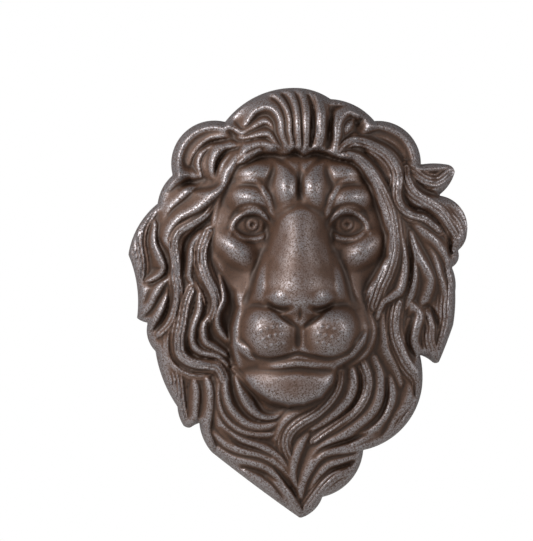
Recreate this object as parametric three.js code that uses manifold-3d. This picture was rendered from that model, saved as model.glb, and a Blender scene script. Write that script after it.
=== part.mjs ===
// Lion head wall mask: one iron casting, hollow at the back, with a hanger bar cast across the hollow.
// Millimetres, +Z up. The face looks along -Y, the flat back rim lies at y = 0, and the origin is the middle
// of the hanger bar's back face. The carving is given in hundredths of the mask's height, x to the right and
// z up as seen from the front. Heights of the relief are sixtieths of its depth, measured from the wall.
import * as THREE from "three";
import { mergeVertices } from "three/addons/utils/BufferGeometryUtils.js";
import Module from "manifold-3d";

const maskHeight = 247.65;
const reliefDepth = 60;
const edgeHeight = 6;
const edgeRoll = 4.5;
const wall = 5;
const hollowLeast = 3;
const barHeight = 12;
const barDepth = 6;
const frontStep = 3.4;
const hollowStep = 8;
const facePatch = 3.6; // the face's creases are softened over this width, to suit the mesh
const overshoot = 2; // how far a cutting body runs past the face it cuts

const unit = maskHeight / 100;
const lift = reliefDepth / 60;

// Silhouette: arcs, clockwise from the crown. Each row is the arc's end and its bulge away from the mask.
const silhouette = [
  [7.3, 18.7, 0.5], [17.5, 13.6, 1.2], [28.3, 3.5, 3.3], [34.8, 3.4, 0.3], [36.2, 1.8, 0.3],
  [32.4, -3.7, 0.6], [39, -12.5, 2.4], [36.9, -16.5, 0.5], [35.5, -20.4, 0.8], [36.3, -26, 0.4],
  [35.8, -33.8, 0.2], [32.5, -42.4, 0.1], [31.2, -42.6, 0.2], [28.1, -40.8, -0.2], [28.6, -48, 0.3],
  [14.9, -62.9, 3.3], [5.4, -73.8, 2.4], [0.2, -78.7, 0.9], [-20.3, -63.4, 0.2], [-23.2, -56.6, 0.6],
  [-25.3, -57.7, -0.1], [-26.9, -57.2, 0.2], [-28.3, -52.8, 0.3], [-33.4, -39.9, 0.8], [-35.3, -36.4, 0.3],
  [-35.2, -33.3, 0.2], [-37.7, -32.2, 0.2], [-39.7, -17.5, -1], [-32.9, -5.6, 1.3], [-29.4, 1, 0.7],
  [-17.2, 13.4, 5], [0.2, 21.26, 2.4],
];

// Edge of the hollow in the back, as arcs of the same kind.
const hollow = [
  [14.5, 9.8, 1], [24.5, -1.5, 1.8], [31.2, -12, 1], [31.4, -26, 0.4], [23.6, -44, 0.3], [12.8, -58.6, 1.5],
  [0.8, -73, 1.4], [-18, -59, 0.6], [-29.5, -36, 0.8], [-34.6, -20, 0.4], [-27.5, -4, 1.2],
  [-16.5, 8.8, 2], [0.2, 17.4, 1.5],
];

// Border between the face and the hair that frames it.
const faceBorder = [
  [0.5, 6.1], [6.5, 5.9], [10.5, 4.8], [13.6, 2.4], [16.2, -1.5], [18.3, -7], [20.1, -13], [19.8, -18],
  [17.2, -22.6], [15, -26], [15.2, -30.2], [16.2, -34], [15.4, -38], [12.6, -41], [8.8, -43.4],
  [7.6, -46.8], [5, -50], [1, -51.8], [-2.6, -52], [-6.8, -50.8], [-11, -47.9], [-14.6, -43.4],
  [-15.8, -38.4], [-15.6, -34], [-14.5, -29.5], [-15.2, -26], [-17.8, -22.6], [-20.3, -18.5],
  [-20.2, -13.5], [-19, -7], [-17, -2], [-14.2, 2.7], [-9, 5.4], [-5.5, 6.1],
];

// Nose in profile (z, relief height) and its half width down the bridge (z, half width).
const noseTop = [
  [-44, 25], [-40, 40], [-37, 46], [-34, 49.5], [-31, 53], [-28.8, 58.2], [-25.8, 59.8], [-20, 55.5],
  [-14, 50], [-9.5, 45], [-6.8, 40.5], [-4, 34], [0, 26], [6, 18],
];
const noseHalf = [
  [-38, 1.6], [-35, 2], [-32.5, 3], [-30, 4.2], [-26, 4.6], [-18.7, 3.8], [-13, 3.2], [-9, 3.3], [-5, 4],
  [0, 4.4],
];

// Locks of hair: root x z, tip x z, bow, sway, half width, rise.
const locks = [
  // crown tuft
  [0, 20.2, -16.6, 12.6, -2.2, 0, 1.9, 3.0],
  [-3.6, 7.4, -13.2, 14, -6.2, 0, 1.3, 5.0],
  [-0.5, 7.4, -3.6, 20.2, -1.5, 0, 1, 5.0],
  [4.4, 7.2, 1.6, 20.4, -1.5, 0, 1.6, 6.0],
  [6.2, 17.2, 17, 13.2, 1.5, 0, 1.2, 3.0],
  [8.2, 6.8, 13.4, 13.6, 3.4, 0, 1.35, 5.5],
  // left fringe
  [-5.4, 9.8, -15.8, 12, -1, -1.6, 1, 2.5],
  [-6.3, 7.1, -18, -1, -3.3, 0, 1, 4.5],
  // right side
  [9, 6.2, 22.4, -1.5, 4.6, 0, 1.7, 5.5],
  [22.4, -1, 33.2, -12, -2.4, -1.3, 1.4, 5.0],
  [12.2, 5, 21.6, -12, 1.6, 0.4, 1.5, 5.0],
  [20.3, -8, 16.4, -30, 4.2, 0, 2.6, 5.0],
  [24.3, 2.6, 34.5, -9.5, -2.7, -0.9, 1.7, 5.0],
  [32, -7.5, 36, -19, 2.8, 0, 1.9, 4.5],
  [24.6, 1.4, 36, 2.6, -2.8, 0, 1.9, 4.5],
  [24.5, -9.8, 35.6, -19.3, 1.8, 0, 1.5, 4.0],
  [25.8, -12.5, 31.5, -24, 1.9, 0, 1, 3.5],
  [25.5, -13.5, 28.6, -28, 1.5, -0.9, 1.5, 4.0],
  [25.2, -16, 31.8, -35, -2.3, 0, 1.2, 3.0],
  [34, -20.5, 32, -42.3, 0.3, 0.5, 1.7, 4.0],
  [28.2, -29, 31.6, -42, 0.5, 0.9, 2, 4.0],
  [18.2, -30.5, 23.6, -44, 2.6, 1.6, 2.5, 4.5],
  [22.6, -40, 20.8, -58, 2.8, 0.5, 1.9, 4.0],
  [24.6, -40.5, 26.8, -53, 2.2, 0, 1.3, 3.5],
  [27.6, -51, 21, -60.3, 0.9, 0, 1.9, 4.0],
  [17.3, -31, 19.3, -48, -0.3, 0, 1.3, 3.5],
  [19.4, -46, 9.5, -61.3, 3.5, 0, 1.3, 4.0],
  [14.8, -41.5, 10.5, -58.8, 4.3, 0, 1.3, 4.0],
  [13, -43, 8.5, -58, 3.2, 0, 1.2, 3.5],
  [9.6, -43.3, -1.8, -63.3, 1.5, 2.6, 2.2, 5.0],
  [19.6, -56, 12.5, -62.3, 2, 0, 1.3, 3.0],
  // beard, right
  [13.2, -62.6, 3.2, -69.5, -3.3, 0, 1.3, 4.5],
  [4.4, -67, 3.8, -75.8, -1.7, 0, 1.1, 4.0],
  [13.6, -64, 4, -73.5, -2.7, 0, 1.1, 3.5],
  [13.3, -66, 4.2, -74, -1.2, 0, 1.1, 3.5],
  [1.5, -70, 2.2, -77.5, -0.6, 0, 1, 3.0],
  // beard, left
  [-13.5, -43, -1.8, -52.2, -1.9, 0, 1.1, 4.5],
  [-13.8, -46.8, -2.8, -52.6, -4.8, 0, 1.2, 4.5],
  [-15.6, -45.5, -4, -55.5, -4.8, -0.5, 1, 3.5],
  [-17.2, -44.5, -2.5, -56, -6.8, 0, 1.2, 4.5],
  [-20.2, -44.5, -11.8, -60.6, -3.2, 0, 1.1, 4.5],
  [-23.2, -44, -13.5, -61.8, -3.3, 0, 1.2, 4.0],
  [-21.3, -57, -8, -65, -3.3, 0, 1.2, 4.0],
  [-12, -64.3, -1, -74.5, 2.5, 0, 1.2, 4.0],
  [-13, -68, -0.5, -77.2, 0.6, 0.7, 1.2, 3.5],
  [-10.8, -66.6, 1.5, -76.3, 0.8, 0.5, 1.2, 4.0],
  // left side, low
  [-21.5, -31.5, -15.8, -37.8, -2.4, 0, 1.7, 4.5],
  [-26.3, -26.5, -17.3, -43.8, -5.6, 0.6, 2.4, 5.5],
  [-23.3, -28, -21, -42, -3.2, 0, 1.3, 5.0],
  [-31, -34.5, -28, -50.5, -2.5, 0, 1.9, 4.0],
  [-29, -47, -26.5, -57.2, 1, 0, 1.6, 3.5],
  [-30, -41, -24.8, -56, 2.1, 0, 1.6, 4.0],
  [-26.5, -43.8, -22.3, -55.8, 2.6, 0, 1.2, 3.5],
  // left side, high
  [-24.3, 1, -31.6, -6.8, -2.2, 0, 1.7, 4.5],
  [-24.5, -1.2, -30.3, -11.5, -0.8, 0, 1.2, 4.0],
  [-18.8, -2.3, -29.5, -16, -2.6, 0.8, 1.8, 4.5],
  [-19.2, -5.8, -28.3, -21, -2.5, 1.5, 1.3, 4.5],
  [-28.6, -18, -28, -28.5, 0.5, 0, 1.2, 4.0],
  [-20.4, -9.5, -25.2, -22.5, -3, 0, 1.4, 4.0],
  [-20.8, -12, -23.5, -20, -0.8, 0, 1.4, 3.0],
  [-31.5, -7.6, -34.8, -22.5, -4.8, 0, 2.2, 4.0],
  [-33.8, -12.8, -34.5, -21.5, -1.3, 0, 1.6, 4.0],
  [-30, -23.5, -37.4, -32.3, -1.8, 0, 1.5, 3.5],
  [-29.5, -24.5, -36.5, -33, -0.7, 0, 1.1, 3.5],
  [-28.8, -26, -35.6, -36.5, -0.2, 0, 1.3, 4.0],
  [-28.5, -27, -33.3, -37.3, 0.9, 0, 1.1, 3.5],
  [-21.8, -15.5, -21.3, -34, 1.3, -1.2, 1.6, 5.0],
];

// A chain of arcs as points, about one point per step of its length.
function arcPoints(arcs, step) {
  const points = [];
  let [x0, z0] = arcs[arcs.length - 1];
  for (const [x1, z1, bulge] of arcs) {
    const dx = x1 - x0, dz = z1 - z0, chord = Math.hypot(dx, dz), size = Math.abs(bulge);
    const count = Math.max(2, Math.round(chord / step));
    const radius = (chord * chord / 4 + size * size) / (2 * size);
    for (let i = 0; i < count; i++) {
      const along = (i / count - 0.5) * chord;
      const off = Math.sign(bulge) * (Math.sqrt(radius * radius - along * along) - (radius - size));
      points.push([x0 + dx * i / count - dz / chord * off, z0 + dz * i / count + dx / chord * off]);
    }
    [x0, z0] = [x1, z1];
  }
  return points;
}

// Distance from the border of a closed ring of points, positive inside it.
function depthInside(x, z, ring) {
  let least = Infinity, inside = false;
  for (let i = 0, j = ring.length - 1; i < ring.length; j = i++) {
    const [ax, az] = ring[j], [bx, bz] = ring[i], dx = bx - ax, dz = bz - az;
    const t = clamp(((x - ax) * dx + (z - az) * dz) / (dx * dx + dz * dz));
    least = Math.min(least, Math.hypot(x - ax - t * dx, z - az - t * dz));
    if (az > z !== bz > z && x < ax + (z - az) * dx / dz) inside = !inside;
  }
  return inside ? least : -least;
}

const clamp = (v) => Math.min(1, Math.max(0, v));
const ramp = (a, b, v) => { const t = clamp((v - a) / (b - a)); return t * t * (3 - 2 * t); };

// Smooth mound on an oval of half axes rx, rz, turned by some degrees.
function mound(x, z, cx, cz, rx, rz, rise, turn = 0) {
  const a = turn * Math.PI / 180, c = Math.cos(a), s = Math.sin(a);
  const q = (((x - cx) * c + (z - cz) * s) / rx) ** 2 + (((z - cz) * c - (x - cx) * s) / rz) ** 2;
  return q < 1 ? rise * (1 - q) ** 2 : 0;
}

// Nearest place on a line: distance, share of its length, side.
function near(x, z, line) {
  let least = Infinity, share = 0, side = 0, done = 0, total = 0;
  for (let i = 1; i < line.length; i++)
    total += Math.hypot(line[i][0] - line[i - 1][0], line[i][1] - line[i - 1][1]);
  for (let i = 1; i < line.length; i++) {
    const [ax, az] = line[i - 1], dx = line[i][0] - ax, dz = line[i][1] - az, length = Math.hypot(dx, dz);
    const t = clamp(((x - ax) * dx + (z - az) * dz) / (length * length));
    const ox = x - ax - t * dx, oz = z - az - t * dz, distance = Math.hypot(ox, oz);
    if (distance < least) {
      least = distance;
      share = (done + t * length) / total;
      side = Math.sign(dx * oz - dz * ox);
    }
    done += length;
  }
  return [least, share, side];
}

// Rounded crease or ridge along a line, fading towards its ends.
function crease(x, z, line, width, depth) {
  const [distance, share] = near(x, z, line);
  if (distance > width) return 0;
  return depth * Math.sin(Math.PI * (0.1 + 0.8 * share)) * (1 - (distance / width) ** 2) ** 1.5;
}

// Smooth curve through rows of (place, value).
function curve(rows, v) {
  let i = 0;
  while (i < rows.length - 2 && v > rows[i + 1][0]) i++;
  const slope = (k) => {
    const a = rows[Math.max(0, k - 1)], b = rows[Math.min(rows.length - 1, k + 1)];
    return (b[1] - a[1]) / (b[0] - a[0]);
  };
  const [a, p] = rows[i], [b, q] = rows[i + 1], w = b - a, s = clamp((v - a) / w);
  return (2 * s ** 3 - 3 * s ** 2 + 1) * p + (s ** 3 - 2 * s ** 2 + s) * w * slope(i) +
    (3 * s ** 2 - 2 * s ** 3) * q + (s ** 3 - s ** 2) * w * slope(i + 1);
}

function smoothMax(a, b, k) {
  const q = clamp(0.5 + 0.5 * (a - b) / k);
  return b + (a - b) * q + k * q * (1 - q);
}

// Broad swell of the whole head.
const swell = (x, z) => 34 - 25 * ((x / 39) ** 2 + ((z + 24) / 56) ** 2);

function faceRelief(x, z) {
  const ax = Math.abs(x);
  let h = swell(x, z) - 1;
  // forehead, brows and the furrow between them
  h += mound(x, z, 0, -3, 19, 10.5, 8) + mound(ax, z, 3.2, -2.2, 3.2, 7, 4.6) - 2.5 * ramp(2, 6, z);
  h += mound(ax, z, 11, 1.2, 5.6, 3.4, 4.6, -8) - mound(x, z, 0, -2, 1.4, 6.4, 2.6);
  h -= mound(ax, z, 6.6, 0, 1.5, 4.6, 1.6, 12);
  h -= crease(ax, z, [[0.1, -0.6], [2.6, 2.4], [5.8, 5]], 1.1, 1.2);
  // swell of the muzzle, with a broad flat front about the mouth
  h += mound(x, z, 0, -31, 17, 17, 12);
  const front = (x / 12.8) ** 2 + ((z + 36) / 8) ** 2;
  h = smoothMax(h, 47 - 8.5 * Math.min(front, 4) ** 1.2, 6);
  // eye sockets, lids and balls
  h -= mound(ax, z, 10.4, -11.4, 6.6, 4.7, 5.5, 8) + mound(ax, z, 6.4, -12.6, 2.4, 5, 2.5, -14);
  h += mound(ax, z, 12, -4.7, 6.2, 4.2, 6.5, 10) + mound(ax, z, 11, -10.9, 5.6, 3.7, 4);
  h += crease(ax, z, [[15.9, -12.4], [14.9, -10.2], [13.2, -8.5], [10.9, -7.8], [8.7, -8.3], [7.1, -10.1],
    [6, -13]], 0.85, 1.8);
  h += crease(ax, z, [[15.3, -11.6], [13.5, -13.4], [11, -14], [8.6, -13.6], [6.8, -12.1]], 0.8, 1.5);
  h += crease(ax, z, [[15.2, -1.6], [12.4, -0.7], [9.4, -1.4], [7.2, -4.6], [6.1, -8.8]], 0.9, 1.2);
  // cheeks
  h += mound(ax, z, 14.6, -16.4, 7, 4.2, 6.5, 37) - mound(ax, z, 15.6, -23.6, 4.2, 5.5, 2);
  // bridge and tip of the nose
  const u = Math.min(4, Math.abs(x + 0.2) / curve(noseHalf, z));
  h = smoothMax(h, curve(noseTop, z) - 4.4 * u ** 2, 5);
  h -= crease(x, z, [[-5.4, -12], [-4.6, -8.8], [0.1, -6.6], [4.6, -8.2], [5.4, -11.4]], 1.2, 0.8);
  h += crease(ax, z, [[8, -18], [8.8, -22], [9, -25.5], [10.4, -28.6]], 1.4, 1.6);
  h -= crease(ax, z, [[9.6, -19.5], [10.7, -23.5], [11.4, -26], [13, -29.5]], 1.2, 1.4);
  // muzzle pads and the groove between them
  const pad = ((ax - 6.3) / 4.6) ** 2 + ((z + 34.9) / 4.6) ** 2;
  h = smoothMax(h, 53 - 4.6 * Math.min(pad, 5) ** 1.7, 3);
  h -= crease(x, z, [[-0.4, -33.6], [-0.4, -36], [-0.4, -38.8]], 1.1, 2.2);
  // wings of the nose, nostrils and the edge of its pad
  h += mound(ax, z, 5.2, -27.2, 2.7, 2.3, 2);
  h -= crease(ax, z, [[7.4, -28.2], [5.8, -29.5], [3.8, -29.9], [2.2, -29.3]], 1.1, 4);
  h -= crease(ax, z, [[5.4, -30.6], [3.4, -32], [1.6, -33.2], [0.1, -34.2]], 0.8, 1.4);
  // mouth, lips and chin
  h -= crease(x, z, [[-14, -37.4], [-12.4, -39.2], [-9.6, -40.7], [-6.4, -41.1], [-3.2, -40.6], [-0.4, -39.8],
    [2.8, -40.5], [6.4, -41], [9.6, -40.2], [12.6, -38.2], [14.6, -35]], 0.9, 2.6);
  h += mound(x, z, -12.5, -39.2, 3.9, 1.5, 4, -43) + mound(x, z, 13.2, -38.2, 4.1, 1.5, 4, 57);
  const chin = ((x + 1.4) / 7.6) ** 2 + ((z + 46.8) / 4.9) ** 2;
  h = smoothMax(h, 44.5 - 5 * Math.min(chin, 5) ** 1.3, 4);
  h += crease(x, z, [[-8.8, -42.9], [-4, -42.6], [-0.5, -42.2], [3.4, -42.6], [7.4, -42.8]], 1, 2);
  h -= crease(x, z, [[-6, -44.3], [-0.5, -43.8], [5, -44.5]], 1.2, 0.8);
  return h;
}

// Each lock as a bowed ridge: its middle line and the box it fills.
const strands = locks.map(([x0, z0, x1, z1, bow, sway, half, rise]) => {
  const dx = x1 - x0, dz = z1 - z0, length = Math.hypot(dx, dz), line = [];
  for (let i = 0; i <= 14; i++) {
    const t = i / 14, off = bow * Math.sin(Math.PI * t) + sway * Math.sin(2 * Math.PI * t);
    line.push([x0 + dx * t - dz / length * off, z0 + dz * t + dx / length * off]);
  }
  const reach = 4 * half + 2, xs = line.map((p) => p[0]), zs = line.map((p) => p[1]);
  const box = [Math.min(...xs) - reach, Math.max(...xs) + reach,
    Math.min(...zs) - reach, Math.max(...zs) + reach];
  const steepSide = Math.sign(0.8 * dz + 0.6 * dx);
  return { line, box, half: 0.3 + half, rise: 1.15 * rise + 2.6, steepSide };
});

function maneRelief(x, z, depth) {
  const ground = swell(x, z) - 4 + mound(x, z, 1, 13, 14, 10, 6);
  let crest = 0;
  for (const { line, box, half, rise, steepSide } of strands) {
    if (x < box[0] || x > box[1] || z < box[2] || z > box[3]) continue;
    const [distance, share, side] = near(x, z, line), shape = Math.sin(Math.PI * (0.13 + 0.74 * share));
    const width = half * (0.55 + 0.55 * shape) * (side * steepSide < 0 ? 0.85 : 1.15);
    crest = smoothMax(crest, rise * (0.45 + 0.55 * shape) * (1 + (distance / width) ** 2) ** -0.8, 0.4);
  }
  return ground + crest + earRelief(x, z, depth);
}

// Ears lie flat at the top corners: a dish with a rolled rim on the left, a petal on the right.
function earRelief(x, z, depth) {
  const left = ramp(9.5, 7.5, Math.hypot(x + 21.8, z - 5.6)) * ramp(-29.5, -27.5, x);
  const dish = 1.8 * Math.exp(-(((depth - 1.7) / 0.9) ** 2)) - 3.2 * ramp(1.8, 4.5, depth);
  const u = ((x - 20.6) * 0.77 - (z - 7.6) * 0.64) / 9, v = ((x - 20.6) * 0.64 + (z - 7.6) * 0.77) / 6.4;
  const petal = 1.4 * Math.exp(-(((depth - 1.7) / 0.8) ** 2)) - 1.6 * ramp(1.6, 4, depth);
  return left * dish + ramp(1.05, 0.8, Math.hypot(u, v)) * petal;
}

// Height of the whole front over the wall, in mm. Outside the silhouette it keeps falling, for a clean cut.
function frontHeight(x, z, ring) {
  const depth = depthInside(x, z, ring);
  if (depth <= 0) return Math.max(1, edgeHeight + 1.6 * depth * unit);
  const inside = depthInside(x, z, faceBorder), face = ramp(-0.9, 1.5, inside);
  // the tufts stand over the forehead and the right cheek and lie low at the left one
  const fringe = 4 * ramp(-5, 3, z) + 2.5 * ramp(4, 12, x) * ramp(-34, -22, z);
  const low = 2.5 * ramp(-5, -12, x) * ramp(-2, -8, z) * ramp(-50, -40, z);
  const byFace = (fringe - low) * Math.exp(-Math.max(0, -inside) / 5);
  const hair = face < 1 ? maneRelief(x, z, depth) + byFace : 0;
  const h = lift * (face > 0 ? patchMean(faceRelief, x, z) * face + hair * (1 - face) : hair);
  const roll = (1 - (1 - clamp(depth * unit / edgeRoll)) ** 2.2) ** 0.6;
  return edgeHeight + (h - edgeHeight) * roll;
}

// Mean of a relief over a small patch.
function patchMean(relief, x, z) {
  const reach = facePatch / 2 / unit, steps = [-reach, 0, reach];
  let sum = 0;
  for (const dx of steps)
    for (const dz of steps) sum += relief(x + dx, z + dz);
  return sum / 9;
}

// Roof of the hollow: it follows the swell and the muzzle one wall thickness behind them.
const hollowHeight = (x, z) =>
  Math.max(hollowLeast, lift * (swell(x, z) - 5 + mound(x, z, 0, -30, 15, 13.5, 20)) - wall);

// Closed block over a rectangle of the wall: back at y = back, front at the given height.
function reliefBlock([x0, x1, z0, z1], step, back, height) {
  const nx = Math.ceil((x1 - x0) / step), nz = Math.ceil((z1 - z0) / step), row = nx + 1, size = row * (nz + 1);
  const points = [], faces = [];
  for (const front of [true, false])
    for (let j = 0; j <= nz; j++)
      for (let i = 0; i <= nx; i++) {
        const x = x0 + (x1 - x0) * i / nx, z = z0 + (z1 - z0) * j / nz;
        points.push(x, front ? -height(x / unit, z / unit) : back, z);
      }
  const quad = (a, b, c, d) => faces.push(a, b, c, a, c, d);
  const y = (k) => points[3 * k + 1];
  for (let j = 0; j < nz; j++)
    for (let i = 0; i < nx; i++) {
      const a = j * row + i, b = a + 1, c = a + row + 1, d = a + row;
      if (Math.abs(y(a) - y(c)) < Math.abs(y(b) - y(d))) quad(a, b, c, d);
      else quad(b, c, d, a); // the fold of each cell runs along its ridge
      quad(size + a, size + d, size + c, size + b);
    }
  for (let i = 0; i < nx; i++) {
    quad(size + i, size + i + 1, i + 1, i);
    quad(nz * row + i, nz * row + i + 1, size + nz * row + i + 1, size + nz * row + i);
  }
  for (let j = 0; j < nz; j++) {
    quad(j * row, (j + 1) * row, size + (j + 1) * row, size + j * row);
    quad(j * row + nx, size + j * row + nx, size + (j + 1) * row + nx, (j + 1) * row + nx);
  }
  const block = new THREE.BufferGeometry();
  block.setAttribute("position", new THREE.Float32BufferAttribute(points, 3));
  return block.setIndex(faces);
}

// Prism of a ring of plan points, from y = back towards the viewer.
function prism(ring, back, depth) {
  const shape = new THREE.Shape(ring.map(([x, z]) => new THREE.Vector2(x * unit, z * unit)));
  return new THREE.ExtrudeGeometry(shape, { depth, bevelEnabled: false, steps: 1 })
    .rotateX(Math.PI / 2).translate(0, back, 0);
}

const wasm = await Module();
wasm.setup();

function solid(geometry) {
  const bare = geometry.clone();
  bare.deleteAttribute("normal");
  bare.deleteAttribute("uv");
  const merged = mergeVertices(bare, 1e-4);
  return new wasm.Manifold(new wasm.Mesh({
    numProp: 3,
    vertProperties: new Float32Array(merged.attributes.position.array),
    triVerts: new Uint32Array(merged.index.array),
  }));
}

const edgeRing = arcPoints(silhouette, 1.7);
const hollowRing = arcPoints(hollow, 3);
const margin = 1.5;
const plan = new THREE.Box2().setFromPoints(edgeRing.map(([x, z]) => new THREE.Vector2(x, z)))
  .expandByScalar(margin);
const field = [plan.min.x, plan.max.x, plan.min.y, plan.max.y].map((v) => v * unit);
const through = reliefDepth + 2 * overshoot;
const bar = new THREE.BoxGeometry(field[1] - field[0], barDepth, barHeight).translate(0, -barDepth / 2, 0);
const hollowBody = solid(reliefBlock(field, hollowStep, overshoot, hollowHeight))
  .intersect(solid(prism(hollowRing, overshoot, through)))
  .subtract(solid(bar));
const mask = solid(reliefBlock(field, frontStep, 0, (x, z) => frontHeight(x, z, edgeRing)))
  .intersect(solid(prism(edgeRing, 0, through)))
  .subtract(hollowBody);

const cast = mask.getMesh();
const skin = new THREE.BufferGeometry();
skin.setAttribute("position", new THREE.BufferAttribute(cast.vertProperties, 3));
skin.setIndex(new THREE.BufferAttribute(cast.triVerts, 1));
const iron = new THREE.MeshStandardMaterial({
  color: 0x5f4d41, roughness: 0.55, metalness: 0.55, flatShading: true,
});
const lionMask = new THREE.Mesh(skin, iron);
lionMask.name = "lion_mask";

const group = new THREE.Group();
group.name = "lion_head_wall_mask";
group.add(lionMask);
export default group;
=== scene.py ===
# Lion head wall mask: one sand-cast iron plaque with a brown patina, hollow behind, hung by a bar cast
# across its hollow. The carving is laid out in hundredths of the mask's height, x to the right and z up
# as seen from the front, and its relief in sixtieths of the mask's depth.
import math

import bmesh
import bpy
import numpy as np
from mathutils import Matrix, Vector


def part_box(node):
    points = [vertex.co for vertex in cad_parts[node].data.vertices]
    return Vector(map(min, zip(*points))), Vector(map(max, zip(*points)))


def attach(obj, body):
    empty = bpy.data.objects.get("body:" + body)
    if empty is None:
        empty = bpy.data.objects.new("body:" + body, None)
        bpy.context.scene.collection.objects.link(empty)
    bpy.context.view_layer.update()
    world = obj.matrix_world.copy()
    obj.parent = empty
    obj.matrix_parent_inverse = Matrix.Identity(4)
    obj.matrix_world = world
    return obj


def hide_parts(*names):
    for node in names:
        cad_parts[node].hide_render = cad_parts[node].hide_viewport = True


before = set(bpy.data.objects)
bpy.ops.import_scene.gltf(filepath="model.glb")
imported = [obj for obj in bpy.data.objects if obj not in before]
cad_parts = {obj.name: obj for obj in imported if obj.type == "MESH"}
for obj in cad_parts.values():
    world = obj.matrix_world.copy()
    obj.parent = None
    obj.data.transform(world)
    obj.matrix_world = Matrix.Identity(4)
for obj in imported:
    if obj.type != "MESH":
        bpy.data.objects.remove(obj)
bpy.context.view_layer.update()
cadLow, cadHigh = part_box("lion_mask")
unit = (cadHigh[2] - cadLow[2]) / 100  # metres in one hundredth of the mask's height
mm = 0.001

mask = {
    "depth": 60 * mm,  # wall to nose
    "edge": 6 * mm,  # square edge of the rim
    "edgeRoll": 4 * mm,  # width over which the front rolls down to the edge
    "backBevel": 0.9 * mm,
    "wall": 5 * mm,  # iron between the front and the hollow
    "hollowLeast": 3 * mm,  # least depth of the hollow
    "barHeight": 12 * mm,
    "barDepth": 6 * mm,
    "barRound": 1.5 * mm,
    "overshoot": 2 * mm,  # how far a cutting body runs past the face that it cuts
    "frontCell": 0.72 * mm,  # cells of the grids that the front and the hollow are made of
    "hollowCell": 2.6 * mm,
    "strandPitch": 2.2 * mm,  # hair strands cut into the broad locks
    "strandDepth": 0.5 * mm,
    "sharpAngle": 60,  # degrees from which an edge is shaded sharp
}
lift = mask["depth"] / 60

# outline, as arcs clockwise from the crown: where each one ends and how far it bulges outwards
outlineArcs = [
    (7.3, 18.7, 0.5), (17.5, 13.6, 1.2), (28.3, 3.5, 3.3), (34.8, 3.4, 0.3), (36.2, 1.8, 0.3), (32.4, -3.7, 0.6),
    (39.0, -12.5, 2.4), (36.9, -16.5, 0.5), (35.5, -20.4, 0.8), (36.3, -26.0, 0.4), (35.8, -33.8, 0.2),
    (32.5, -42.4, 0.1), (31.2, -42.6, 0.2), (28.1, -40.8, -0.2), (28.6, -48.0, 0.3), (14.9, -62.9, 3.3),
    (5.4, -73.8, 2.4), (0.2, -78.7, 0.9), (-20.3, -63.4, 0.2), (-23.2, -56.6, 0.6), (-25.3, -57.7, -0.1),
    (-26.9, -57.2, 0.2), (-28.3, -52.8, 0.3), (-33.4, -39.9, 0.8), (-35.3, -36.4, 0.3), (-35.2, -33.3, 0.2),
    (-37.7, -32.2, 0.2), (-39.7, -17.5, -1.0), (-32.9, -5.6, 1.3), (-29.4, 1.0, 0.7), (-17.2, 13.4, 5.0),
    (0.2, 21.26, 2.4),
]

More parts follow.
